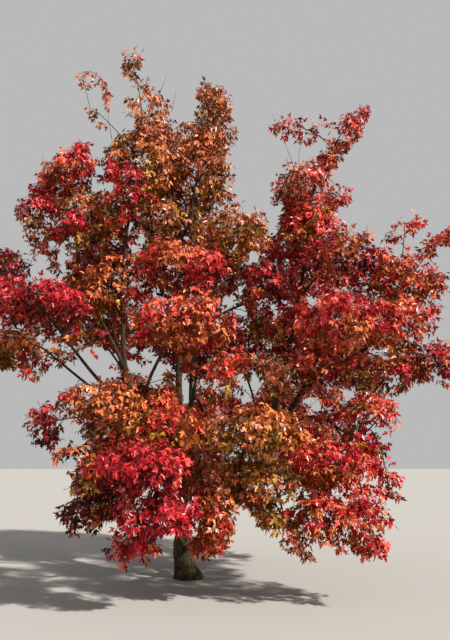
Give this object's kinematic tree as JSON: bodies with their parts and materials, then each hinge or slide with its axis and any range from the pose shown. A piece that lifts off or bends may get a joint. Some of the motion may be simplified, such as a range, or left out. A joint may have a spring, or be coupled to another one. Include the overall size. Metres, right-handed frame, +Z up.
{
  "type": "amur maple tree",
  "caption": "Whole amur maple in autumn leaf: a low-forking tree whose tapering limbs carry an open, broad crown of red, orange and bronze foliage.",
  "frame": {"origin": "middle of the flat cut through the root flare at ground level", "axes": "+Z up; +X to the viewer's right and +Y away from the viewer in the pictured side"},
  "size_m": [6.2154, 4.888, 7.103],
  "materials": {
    "bark": "rough, finely furrowed grey-brown bark",
    "crimson": "thin autumn leaves, slightly glossy above",
    "scarlet": "thin autumn leaves, slightly glossy above",
    "rose": "thin autumn leaves, slightly glossy above",
    "wine": "thin autumn leaves, slightly glossy above",
    "rust": "thin autumn leaves, slightly glossy above",
    "copper": "thin autumn leaves, slightly glossy above",
    "amber": "thin autumn leaves, slightly glossy above",
    "olive": "thin autumn leaves, slightly glossy above"
  },
  "bodies": {
    "root": {"trunk": "bark", "main_stem": "bark", "right_limb": "bark", "left_stem": "bark", "left_limb": "bark", "low_left_limb": "bark", "dome_limb": "bark", "lean_limb": "bark", "centre_limb": "bark", "right_leader_stem": "bark", "right_low_limb": "bark", "front_left_limb": "bark", "front_right_limb": "bark", "back_left_limb": "bark", "back_limb": "bark", "back_right_limb": "bark", "top_leader_leaves": "copper", "left_leader_leaves": "copper", "second_leader_leaves": "copper", "leader_fork_leaves": "olive", "middle_leaves": "copper", "dome_top_leaves": "crimson", "dome_low_leaves": "rust", "dome_right_leaves": "wine", "left_shelf_leaves": "crimson", "left_under_leaves": "wine", "left_inner_leaves": "rust", "low_left_leaves": "crimson", "centre_upper_leaves": "crimson", "centre_lower_leaves": "scarlet", "right_tip_leaves": "rose", "right_leader_leaves": "scarlet", "right_shoulder_leaves": "crimson", "right_outer_upper_leaves": "scarlet", "right_outer_leaves": "scarlet", "right_edge_leaves": "crimson", "right_middle_leaves": "scarlet", "right_inner_leaves": "wine", "right_under_leaves": "rust", "centre_right_leaves": "rust", "front_orange_leaves": "amber", "right_droop_leaves": "rust", "right_lower_leaves": "crimson", "right_lowest_leaves": "crimson", "front_olive_leaves": "olive", "front_droop_leaves": "rust", "left_orange_leaves": "amber", "left_crimson_leaves": "crimson", "left_crimson_low_leaves": "crimson", "left_dark_leaves": "wine", "back_top_leaves": "rust", "back_left_high_leaves": "crimson", "back_left_leaves": "scarlet", "back_left_low_leaves": "rust", "back_high_leaves": "amber", "back_leaves": "crimson", "back_low_leaves": "scarlet", "back_right_high_leaves": "crimson", "back_right_leaves": "scarlet", "back_right_low_leaves": "rust"}
  },
  "joints": []
}
